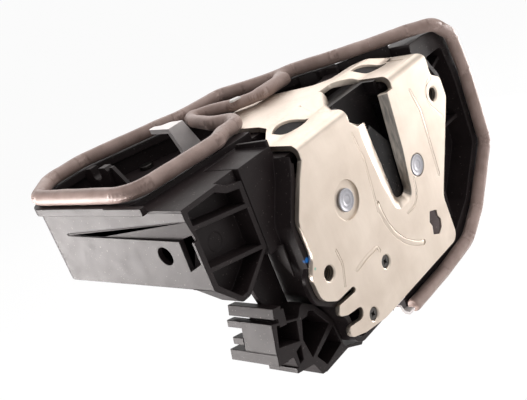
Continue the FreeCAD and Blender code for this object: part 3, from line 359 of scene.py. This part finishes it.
# Plastics and rubber: colour, worn colour, range of roughness and width of the grain.
plasticLooks = {
    "blackPlastic": ((0.015, 0.0108, 0.0112), (0.021, 0.0152, 0.0157), (0.44, 0.50), 0.5),
    "insertPlastic": ((0.006, 0.0045, 0.0048), (0.012, 0.009, 0.0095), (0.38, 0.50), 0.5),
    "wornPlastic": ((0.060, 0.044, 0.044), (0.085, 0.063, 0.063), (0.50, 0.65), 0.4),
    "jacketPlastic": ((0.0035, 0.003, 0.0035), (0.008, 0.007, 0.0075), (0.25, 0.38), 0.6),
    "switchPlastic": ((0.05, 0.05, 0.055), (0.08, 0.08, 0.085), (0.40, 0.55), 0.4),
    "gearPlastic": ((0.62, 0.60, 0.52), (0.72, 0.70, 0.62), (0.35, 0.50), 0.4),
    "bumperRubber": ((0.02, 0.02, 0.02), (0.035, 0.035, 0.035), (0.60, 0.80), 0.3),
}
plasticValues = {"cloud": 9, "dust": 0.7, "dustColour": (0.20, 0.17, 0.16), "patch": 5, "gloss": 0.2}


def makePlastic(name):
    colour, worn, rough, grain = plasticLooks[name]
    values = plasticValues
    material = newMaterial(name, colour, 0.0, rough[0])
    cloud = lumps(material, values["cloud"], 4.0, distortion=0.3)
    fine = lumps(material, grain, 2.0)
    tone = blendColours(material, spread(material, cloud, 0, 1), colour, worn)
    dust = spread(material, lumps(material, values["dust"], 1.0), 0, 0.5, 0.71, 0.76)
    tone = blendColours(material, dust, tone, values["dustColour"])
    for centre, radius, paint in paintSpots["plastic"]:
        tone = blendColours(material, spotMask(material, centre, radius), tone, paint)
    setSocket(material, "Base Color", tone)
    setSocket(material, "Roughness", spread(material, lumps(material, values["patch"], 4.0), *rough))
    addBump(material, [(fine, 1.0)], 0.18, 0.05)
    material.node_tree.nodes["Principled BSDF"].inputs["Specular IOR Level"].default_value = values["gloss"]
    return material


steelLooks = {
    "bright": {"colour": (0.93, 0.88, 0.87), "rough": (0.42, 0.50), "stretch": (1, 0.15, 1),
               "metallic": 0.15},
    "rivet": {"colour": (0.42, 0.42, 0.45), "rough": (0.44, 0.60), "stretch": (1, 1, 1)},
    "plain": {"colour": (0.34, 0.34, 0.35), "rough": (0.34, 0.50), "stretch": (0.2, 1, 1)},
    "spring": {"colour": (0.30, 0.30, 0.32), "rough": (0.25, 0.38), "stretch": (1, 1, 1)},
    "screw": {"colour": (0.10, 0.095, 0.09), "rough": (0.28, 0.42), "stretch": (1, 1, 1)},
    "can": {"colour": (0.62, 0.62, 0.60), "rough": (0.25, 0.40), "stretch": (1, 0.2, 1)},
}


def makeSteel(name):
    look = steelLooks[name]
    colour = look["colour"]
    material = newMaterial(name + "Steel", colour, look.get("metallic", 1.0), look["rough"][0])
    cloud = lumps(material, 6, 4.0)
    drawn = lumps(material, 0.6, 3.0, stretch=look["stretch"])
    darker = tuple(0.82 * value for value in colour)
    setSocket(material, "Base Color", blendColours(material, spread(material, cloud, 0, 1), darker, colour))
    setSocket(material, "Roughness", spread(material, drawn, *look["rough"]))
    addBump(material, [(drawn, 1.0)], 0.08, 0.02)
    return material


foamLook = {"colour": (0.27, 0.188, 0.162), "pale": (0.40, 0.292, 0.258), "cloud": 7, "cell": 0.5, "pit": 1.6}


def makeFoam():
    material = newMaterial("sealFoam", foamLook["colour"], 0.0, 0.75)
    cloud = lumps(material, foamLook["cloud"], 4.0)
    cells = lumps(material, foamLook["cell"], 2.0)
    pits = lumps(material, foamLook["pit"], 3.0)
    tone = blendColours(material, spread(material, cloud, 0, 1), foamLook["colour"], foamLook["pale"])
    setSocket(material, "Base Color", tone)
    setSocket(material, "Roughness", spread(material, cells, 0.40, 0.60))
    addBump(material, [(cells, 1.0), (pits, 0.6)], 0.3, 0.15)
    shader = material.node_tree.nodes["Principled BSDF"]
    shader.inputs["Sheen Weight"].default_value = 0.08
    shader.inputs["Sheen Roughness"].default_value = 0.4
    return material


zinc = makeZinc()
plastics = {name: makePlastic(name) for name in plasticLooks}
plastic = plastics["blackPlastic"]
steels = {name: makeSteel(name) for name in steelLooks}
foam = makeFoam()
print("materials made")

# The material, the slot, the edge radius in millimetres and the smooth angle of each node. The hook and two
# springs are made further down.
softNodes = {
    "latch_plate": (zinc, "zinc_steel", 0.24, 30),
    "latch_case": (plastic, "black_plastic", 0.25, 35),
    "rim_frame": (plastic, "black_plastic", 0.30, 35),
    "actuator_housing": (plastic, "black_plastic", 0.22, 35),
    "mouth_insert": (plastics["insertPlastic"], "black_plastic", 0.20, 35),
    "tray_cover": (plastic, "black_plastic", 0.20, 35),
    "cable_cradle": (plastic, "black_plastic", 0.30, 35),
    "clip_bracket": (plastic, "black_plastic", 0.20, 35),
    "release_lever": (steels["bright"], "bright_steel", 0.35, 35),
    "back_plate": (steels["plain"], "steel", 0.25, 35),
    "catch": (steels["plain"], "steel", 0.25, 35),
    "catch_jacket": (plastics["jacketPlastic"], "jacket_plastic", 0.20, 35),
    "pawl": (steels["plain"], "steel", 0.25, 35),
    "release_shaft": (steels["plain"], "steel", 0.20, 35),
    "catch_bumper": (plastics["bumperRubber"], "bumper_rubber", 0.25, 35),
    "catch_switch": (plastics["switchPlastic"], "switch_plastic", 0.20, 35),
    "lock_sector": (plastics["gearPlastic"], "gear_plastic", 0.10, 35),
    "motor_shaft": (steels["plain"], "steel", 0.06, 35),
    "sector_pin": (steels["plain"], "steel", 0.10, 35),
    "lock_motor": (steels["can"], "motor_can", 0.30, 35),
    "catch_pin": (steels["rivet"], "steel", 0.30, 35),
    "pawl_pin": (steels["rivet"], "steel", 0.30, 35),
    "screw_inner": (steels["screw"], "screw_steel", 0.15, 35),
    "screw_lower": (steels["screw"], "screw_steel", 0.15, 35),
    "cover_screw_1": (steels["screw"], "screw_steel", 0.15, 35),
    "cover_screw_2": (steels["screw"], "screw_steel", 0.15, 35),
    "cover_screw_3": (steels["screw"], "screw_steel", 0.15, 35),
    "release_spring": (steels["spring"], "spring_steel", 0, 50),
}
bodyOf = {name: body for body, names in frame["record"]["behaviour"]["bodies"].items() for name in names}
openEdges = ("latch_plate", "actuator_housing", "clip_bracket", "latch_case", "rim_frame")
pieces = {}
for node, (material, slotName, edge, angle) in softNodes.items():
    pieces[node] = softCopy(node, bodyOf[node], material, edge, angle, True, node not in openEdges)
print("nodes dressed")

# Foam seal: its loose end lies in the box looseLow to looseHigh, and its joint runs from start to end.
sealValues = {
    "voxel": 0.5,
    "smoothing": 34,
    "swell": 0.35,
    "lump": 11.0,
    "thinner": 0.35,
    "looseLow": (20, 38, 46),
    "looseHigh": (43, 66, 100),
    "jointRadius": 2.5,
    "jointDepth": 2.8,
    "jointStart": (52.5, 43.7),
    "jointEnd": (63.4, 48.6),
    "jointRise": 0.2,
}


# A rod between two points, as one piece at the origin.
def makeRod(name, start, end, radius, sides=16):
    clearSelection()
    low, high = Vector(start) * mm, Vector(end) * mm
    bpy.ops.mesh.primitive_cylinder_add(vertices=sides, radius=radius * mm, depth=(high - low).length,
                                        location=(low + high) / 2,
                                        rotation=(high - low).to_track_quat("Z", "Y").to_euler())
    rod = bpy.context.object
    rod.name = name
    bpy.ops.object.transform_apply(location=True, rotation=True, scale=True)
    return rod


def joinInto(piece, others):
    makeActive(piece)
    for other in others:
        other.select_set(True)
    bpy.context.view_layer.objects.active = piece
    bpy.ops.object.join()


# The cord's loose end is thinner and is pressed into the far run, where the photograph shows the joint.
def makeSeal():
    values = sealValues
    piece = softCopy("foam_seal", "frame", foam, 0, 60, False)
    chooseVertices(piece, lambda at: all(
        low < value < high for low, value, high in zip(values["looseLow"], at, values["looseHigh"])))
    bpy.ops.transform.shrink_fatten(value=-values["thinner"] * mm)
    bpy.ops.object.mode_set(mode="OBJECT")
    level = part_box("foam_seal")[1][2] / mm - values["jointDepth"]
    joint = makeRod("sealJoint", (*values["jointStart"], level),
                    (*values["jointEnd"], level + values["jointRise"]), values["jointRadius"])
    joinInto(piece, [joint])
    makeActive(piece)
    piece.data.remesh_voxel_size = values["voxel"] * mm
    bpy.ops.object.voxel_remesh()
    piece.data.materials.clear()
    piece.data.materials.append(foam)
    for face in piece.data.polygons:
        face.material_index = 0
    applyModifier(piece, "SMOOTH", factor=0.6, iterations=values["smoothing"])
    texture = bpy.data.textures.new("sealLumps", "CLOUDS")
    texture.noise_scale = values["lump"] * mm
    applyModifier(piece, "DISPLACE", texture=texture, strength=values["swell"] * mm, mid_level=0.5)
    makeActive(piece)
    bpy.ops.object.shade_smooth()
    return piece


makeSeal()
print("seal made")

# A flat piece: its outline in one plane, filled and extruded along the plane's axis.
def makeSlab(name, corners, plane, start, end, body, material, slotName, edge=0.25):
    clearSelection()
    order = {"front": (0, 2, 1), "plan": (0, 1, 2), "side": (1, 2, 0)}[plane]
    mesh = bpy.data.meshes.new(name)
    points = []
    for corner in corners:
        point = [0, 0, 0]
        for axis, value in zip(order, (*corner, start)):
            point[axis] = value * mm
        points.append(point)
    mesh.from_pydata(points, [], [list(range(len(points)))])
    piece = bpy.data.objects.new(name, mesh)
    bpy.context.scene.collection.objects.link(piece)
    makeActive(piece)
    bpy.ops.object.mode_set(mode="EDIT")
    bpy.ops.mesh.select_all(action="SELECT")
    move = [0, 0, 0]
    move[order[2]] = (end - start) * mm
    bpy.ops.mesh.extrude_region_move(TRANSFORM_OT_translate={"value": move})
    bpy.ops.mesh.select_all(action="SELECT")
    bpy.ops.mesh.normals_make_consistent(inside=False)
    bpy.ops.object.mode_set(mode="OBJECT")
    if edge:
        breakEdges(piece, edge, 30)
    shadeByAngle(piece, 35)
    return finishPiece(piece, body, material)


# The wall that carries the seal between the housing and the rim frame.
sealSeat = {
    "line": [(66.0, 43.5), (75.5, 31.5), (86.5, 22.5), (92.0, 17.6)],
    "width": 2.4,
    "bottom": 39.0,
    "top": 46.6,
}


# The outline of a band of even width along a line.
def bandOutline(points, width):
    line = [Vector(point) for point in points]
    left, right = [], []
    for index, point in enumerate(line):
        along = (line[min(index + 1, len(line) - 1)] - line[max(index - 1, 0)]).normalized()
        across = Vector((-along.y, along.x)) * width / 2
        left.append(tuple(point + across))
        right.append(tuple(point - across))
    return left + right[::-1]


def makeSealSeat():
    return makeSlab("sealSeat", bandOutline(sealSeat["line"], sealSeat["width"]), "plan", sealSeat["bottom"],
                    sealSeat["top"], "frame", plastic, "black_plastic")


# The web that closes the corner between the ribbed frame, the case and the clip bracket.
cornerWeb = {"corners": [(-21.0, 15.0), (-7.6, 15.0), (-7.0, -11.5), (-16.0, -11.5), (-19.0, 3.0)],
             "front": 16.2, "back": 18.2}


def makeCornerWeb():
    return makeSlab("cornerWeb", cornerWeb["corners"], "front", cornerWeb["front"], cornerWeb["back"],
                    "frame", plastic, "black_plastic")


# Soft ridges in the plate's pressed beads: width, then the points of the middle line as X and Z.
ridgeLines = [
    (1.4, [(72.1, 34.0), (75.2, 24.0), (74.6, -3.0)]),
    (1.4, [(12.2, -6.8), (19.5, -5.8), (26.6, -5.8), (27.4, -8.4)]),
    (0.9, [(6.4, 5.2), (7.2, -1.0), (4.6, -8.4)]),
    (0.9, [(87.6, 32.2), (83.0, 31.2), (80.7, 27.0), (82.4, 22.6), (88.4, 15.4)]),
    (0.9, [(33.0, 35.0), (34.9, 24.0), (34.2, 14.0), (33.2, 4.0)]),
    (0.9, [(58.8, 5.0), (57.8, -1.6), (54.0, -4.8), (48.4, -4.9)]),
]
arcRidge = {"x": 63.2, "z": 7.5, "radius": 28.9, "start": 181, "step": 4, "points": 18, "width": 2.0}
ridgeValues = {"back": 0.7, "front": 0.04, "edge": 0.3}


# The long curved ridge round the pivot of the catch.
def arcLine(arc):
    turns = [math.radians(arc["start"] + arc["step"] * point) for point in range(arc["points"])]
    return [(arc["x"] + arc["radius"] * math.cos(turn), arc["z"] + arc["radius"] * math.sin(turn))
            for turn in turns]


def makeRidges():
    ridges = []
    for index, (width, line) in enumerate(ridgeLines + [(arcRidge["width"], arcLine(arcRidge))]):
        ridges.append(makeSlab("plateRidge%d" % index, bandOutline(line, width), "front", ridgeValues["back"],
                               ridgeValues["front"], "frame", zinc, "zinc_steel", ridgeValues["edge"] * width))
    joinInto(ridges[0], ridges[1:])
    ridges[0].name = "plateRidges"


# The threads of the two fixing holes.
threadValues = {"pitch": 1.0, "turns": 6, "height": 0.26, "start": 0.9}


coilSteps = 28


# A coil of round or pointed section: a small ring of vertices, turned up by the Screw modifier.
def makeCoil(name, x, z, start, radius, section, pitch, turns, sides, body, material):
    clearSelection()
    bpy.ops.mesh.primitive_circle_add(vertices=sides, radius=section * mm, location=(radius * mm, 0, 0),
                                      rotation=(math.pi / 2, 0, 0))
    coil = bpy.context.object
    coil.name = name
    bpy.ops.object.transform_apply(location=True, rotation=True, scale=True)
    applyModifier(coil, "SCREW", axis="Z", angle=2 * math.pi, screw_offset=pitch * mm, iterations=turns,
                  steps=coilSteps, render_steps=coilSteps, use_normal_calculate=True)
    coil.rotation_euler = (-math.pi / 2, 0, 0)
    coil.location = (x * mm, start * mm, z * mm)
    bpy.ops.object.transform_apply(location=True, rotation=True, scale=True)
    makeActive(coil)
    bpy.ops.object.mode_set(mode="EDIT")
    bpy.ops.mesh.select_all(action="SELECT")
    bpy.ops.mesh.normals_make_consistent(inside=False)
    bpy.ops.object.mode_set(mode="OBJECT")
    shadeByAngle(coil, 50)
    return finishPiece(coil, body, material)


def makeThreads():
    for index, (x, z, radius, countersink) in enumerate(plateMouths["holes"][:2]):
        makeCoil("holeThread%d" % (index + 1), x, z, threadValues["start"], radius, threadValues["height"],
                 threadValues["pitch"], threadValues["turns"], 3, "frame", steels["screw"])


# The staked ends of the two pivots: rings pressed in their front faces.
rivetRings = [(0.25, 0.0), (0.12, -0.07), (0.9, 0.0), (0.12, 0.05), (0.8, 0.0), (0.12, -0.05)]


def stakeRivet(piece):
    front = min(vertex.co.y for vertex in piece.data.vertices)
    chooseVertices(piece, lambda at: abs(at.y - front / mm) < 0.02)
    bpy.ops.mesh.select_mode(type="FACE")
    for width, depth in rivetRings:
        bpy.ops.mesh.inset(thickness=width * mm, depth=depth * mm)
    bpy.ops.object.mode_set(mode="OBJECT")


# A torn scrap of white film on the seal; low and high are its depths under the seal's top.
scrapValues = {
    "corners": [(30.9, 48.2), (33.0, 49.6), (35.6, 48.0), (35.2, 46.0), (33.6, 46.6), (31.8, 46.9)],
    "low": 0.9,
    "high": 0.1,
}


def makeScrap():
    film = newMaterial("scrapFilm", (0.80, 0.78, 0.76), 0.0, 0.6)
    addBump(film, [(lumps(film, 0.8, 3.0), 1.0)], 0.4, 0.1)
    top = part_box("foam_seal")[1][2] / mm
    makeSlab("tornScrap", scrapValues["corners"], "plan", top - scrapValues["low"], top - scrapValues["high"],
             "frame", film, "seal_foam", 0.15)


# The flange beside the mouth of the slot, rolled down along a slanted edge, and dark floors under the two
# windows of the riser. Outlines as X and Y.
sheetOutline = [(32.8, 5.0), (33.6, 5.0), (41.5, 12.9), (45.7, 15.8), (44.6, 18.6), (32.8, 18.6)]
windowLines = [(13, 15.5, 28.5, 12, 5.5), (65, 17.5, 78.5, 10, 5.0)]
riser = {"front": 13.0, "rear": 17.5, "low": 43.4, "high": 46.6}
mouthRoll = {"above": 43.3, "start": (33.6, 5.0), "before": 16, "width": 1.7, "steps": 5}
windowValues = {"drop": 0.95, "thickness": 0.8, "margin": 0.15, "steps": 8}


# A sheet that follows the flange and its riser, a distance under their tops.
def makeRiserSheet(name, corners, drop, thickness, material, slotName):
    top = riser["low"] - drop
    sheet = makeSlab(name, corners, "plan", top - thickness, top, "frame", material, slotName, 0)
    for place in (riser["front"], riser["rear"]):
        chooseVertices(sheet, lambda at: True)
        bpy.ops.mesh.bisect(plane_co=(0, place * mm, 0), plane_no=(0, 1, 0))
        bpy.ops.object.mode_set(mode="OBJECT")
    for place in sorted({round(vertex.co.y / mm, 1) for vertex in sheet.data.vertices}):
        share = min(max((place - riser["front"]) / (riser["rear"] - riser["front"]), 0), 1)
        moveVertices(sheet, lambda at: round(at.y, 1) == place, (0, 0, share * (riser["high"] - riser["low"])))
    return sheet


def makeFlangeParts():
    sheet = makeRiserSheet("mouthSheet", sheetOutline, -0.02, 2.0, zinc, "zinc_steel")
    x, y = mouthRoll["start"]
    bevelVertices(sheet, lambda at: at.z > mouthRoll["above"] and (at.x - x) - (at.y - y) > -0.19
                  and at.y < mouthRoll["before"], mouthRoll["width"], mouthRoll["steps"])
    shadeByAngle(sheet, 30)
    weighNormals(sheet)
    steps = windowValues["steps"]
    for index, (x0, y0, x1, y1, width) in enumerate(windowLines):
        along, middle = Vector((x1 - x0, y1 - y0)) / 2, Vector((x0 + x1, y0 + y1)) / 2
        across = Vector((-along.y, along.x)).normalized() * (width / 2 + windowValues["margin"])
        half = [(step / steps, 1 - (step / steps) ** 2) for step in range(-steps, steps)]
        corners = [tuple(middle + along * share + across * bulge) for share, bulge in half]
        corners += [tuple(middle - along * share - across * bulge) for share, bulge in half]
        makeRiserSheet("windowFloor%d" % (index + 1), corners, windowValues["drop"], windowValues["thickness"],
                       plastics["insertPlastic"], "black_plastic")


# Dark plastic that shows through the worn spot of the plate.
wornValues = {
    "corners": [(61.7, -11.2), (66.5, -13.0), (66.1, -15.6), (67.5, -17.6), (66.5, -20.8), (63.8, -22.4),
                (59.8, -20.6), (60.7, -17.2), (59.7, -15.0)],
    "back": 1.7,
    "front": 0.4,
}


# Gusset between the ribbed frame and the case, whose flat side looks left.
gussetValues = {"corners": [(15.0, 15.4), (7.0, 15.8), (7.0, 3.8)], "sides": (-8.8, -8.0)}


# Steel clip at the lower end of the rim: a bent strip on a flat seat.
hookValues = {
    "line": [(32.0, -34.4), (33.4, -38.0), (35.9, -40.2), (39.6, -40.3)],
    "width": 1.1,
    "seat": [(30.6, -33.2), (36.4, -33.2), (36.4, -31.9), (30.6, -31.9)],
    "front": 3.3,
    "stripBack": 7.0,
    "seatBack": 7.6,
}


def makeSmallParts():
    makeSlab("wornFloor", wornValues["corners"], "front", wornValues["back"], wornValues["front"], "frame",
             plastics["wornPlastic"], "black_plastic", 0.1)
    makeSlab("caseGusset", gussetValues["corners"], "side", *gussetValues["sides"], "frame", plastic,
             "black_plastic", 0.15)
    strip = bandOutline(hookValues["line"], hookValues["width"])
    hook = makeSlab("hookStrip", strip, "front", hookValues["front"], hookValues["stripBack"], "frame",
                    steels["bright"], "bright_steel", 0.2)
    seat = makeSlab("hookSeat", hookValues["seat"], "front", hookValues["front"], hookValues["seatBack"],
                    "frame", steels["bright"], "bright_steel", 0.2)
    joinInto(hook, [seat])
    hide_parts("metal_hook")


# Round wire springs in place of the plain rings of the CAD: pivot, start angle, leg radius, leg angle.
springValues = {"radius": 4.15, "wire": 0.5, "start": 10.55, "pitch": 1.05, "turns": 1}
springs = {"catch_spring": (63.2, 7.5, 300, 13.0, 330), "pawl_spring": (19.7, 16.4, 60, 12.0, 20)}


def aroundPoint(x, z, radius, angle, y):
    return (x + radius * math.cos(math.radians(angle)), y, z + radius * math.sin(math.radians(angle)))


def makeSprings():
    values = springValues
    for node, (x, z, startAngle, legRadius, legAngle) in springs.items():
        coil = makeCoil(node + "_coil", x, z, values["start"], values["radius"], values["wire"],
                        values["pitch"], values["turns"], 10, bodyOf[node], steels["spring"])
        leg = makeRod(node + "_leg", aroundPoint(x, z, values["radius"], startAngle, values["start"]),
                      aroundPoint(x, z, legRadius, legAngle, values["start"]), values["wire"], 10)
        joinInto(coil, [leg])
        shadeByAngle(coil, 50)
        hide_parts(node)


makeFlangeParts()
makeSmallParts()
makeSprings()
makeRidges()
makeThreads()
stakeRivet(pieces["catch_pin"])
stakeRivet(pieces["pawl_pin"])
makeScrap()
makeSealSeat()
makeCornerWeb()
print("added pieces made")

# Stage, lamps and camera.
stageValues = {
    "floorLevel": -180,
    "floorSize": 40.0,
    "floorGlow": 0.93,
    "worldStrength": 0.5,
    "glossStrength": 0.72,
    "lampColour": (1.0, 0.955, 0.935),
}


def makeStage():
    clearSelection()
    bpy.ops.mesh.primitive_plane_add(size=stageValues["floorSize"],
                                     location=(0, 0, stageValues["floorLevel"] * mm))
    floor = bpy.context.object
    floor.name = "floor"
    surface = newMaterial("floorPaper", (0.93, 0.93, 0.93), 0.0, 0.9)
    glow = addNode(surface, "Emission", Strength=1.0)
    rays = addNode(surface, "LightPath")
    share = addNode(surface, "Math", operation="MULTIPLY")
    share.inputs[1].default_value = stageValues["floorGlow"]
    mix = addNode(surface, "MixShader")
    shader = surface.node_tree.nodes["Principled BSDF"]
    link(surface, rays.outputs["Is Camera Ray"], share.inputs[0])
    link(surface, share.outputs["Value"], mix.inputs["Fac"])
    link(surface, shader.outputs["BSDF"], mix.inputs[1])
    link(surface, glow.outputs["Emission"], mix.inputs[2])
    link(surface, mix.outputs["Shader"], surface.node_tree.nodes["Material Output"].inputs["Surface"])
    floor.data.materials.append(surface)


# The world lights at one strength, shows in gloss at another, and is white to the camera.
def makeWorld():
    world = bpy.data.worlds.new("studio")
    bpy.context.scene.world = world
    world.use_nodes = True
    tree = world.node_tree
    light = tree.nodes["Background"]
    rays = tree.nodes.new("ShaderNodeLightPath")
    light.inputs["Color"].default_value = (1, 1, 1, 1)
    light.inputs["Strength"].default_value = stageValues["worldStrength"]
    last = light.outputs["Background"]
    for ray, strength in (("Is Glossy Ray", stageValues["glossStrength"]), ("Is Camera Ray", 1.0)):
        shown = tree.nodes.new("ShaderNodeBackground")
        shown.inputs["Color"].default_value = (1, 1, 1, 1)
        shown.inputs["Strength"].default_value = strength
        mix = tree.nodes.new("ShaderNodeMixShader")
        tree.links.new(rays.outputs[ray], mix.inputs["Fac"])
        tree.links.new(last, mix.inputs[1])
        tree.links.new(shown.outputs["Background"], mix.inputs[2])
        last = mix.outputs["Shader"]
    tree.links.new(last, tree.nodes["World Output"].inputs["Surface"])


lampValues = {
    "above": {"towards": (0.45, -0.2, 0.85), "distance": 0.8, "size": 0.8, "power": 3.2},
    "left": {"towards": (-0.66, 0.62, -0.42), "distance": 0.55, "size": 0.45, "power": 14.5},
    "right": {"towards": (0.94, -0.06, -0.34), "distance": 0.6, "size": 0.45, "power": 8.0},
    "behind": {"towards": (0.62, 0.66, 0.46), "distance": 0.7, "size": 0.6, "power": 1.6},
    "front": {"towards": (0.55, -0.8, -0.1), "distance": 0.9, "size": 0.8, "power": 1.3},
}


def makeLamps():
    centre = (Vector(cadBounds[0]) + Vector(cadBounds[1])) / 2
    for name, values in lampValues.items():
        data = bpy.data.lights.new(name + "Lamp", "AREA")
        data.size = values["size"]
        data.energy = values["power"]
        data.color = stageValues["lampColour"]
        lamp = bpy.data.objects.new(name + "Lamp", data)
        towards = Vector(values["towards"]).normalized()
        lamp.location = centre + towards * values["distance"]
        lamp.rotation_euler = (-towards).to_track_quat("-Z", "Y").to_euler()
        bpy.context.scene.collection.objects.link(lamp)


cameraValues = {
    "place": (-178.75, -174.64, 121.19),
    "right": (0.59898, -0.72519, -0.33960),
    "up": (0.47810, -0.01634, 0.87816),
    "view": (0.64238, 0.68835, -0.33692),
    "lens": 58.06,
}


def makeCamera():
    data = bpy.data.cameras.new("photoCamera")
    data.lens = cameraValues["lens"]
    data.sensor_width = 36
    data.clip_start = 0.01
    data.clip_end = 20
    camera = bpy.data.objects.new("photoCamera", data)
    right, up, view = (Vector(cameraValues[key]).normalized() for key in ("right", "up", "view"))
    turn = Matrix((right, up, -view)).transposed()
    camera.matrix_world = Matrix.Translation(Vector(cameraValues["place"]) * mm) @ turn.to_4x4()
    bpy.context.scene.collection.objects.link(camera)
    bpy.context.scene.camera = camera


makeStage()
makeWorld()
makeLamps()
makeCamera()
bpy.context.scene.view_settings.view_transform = "Standard"
print("stage set")
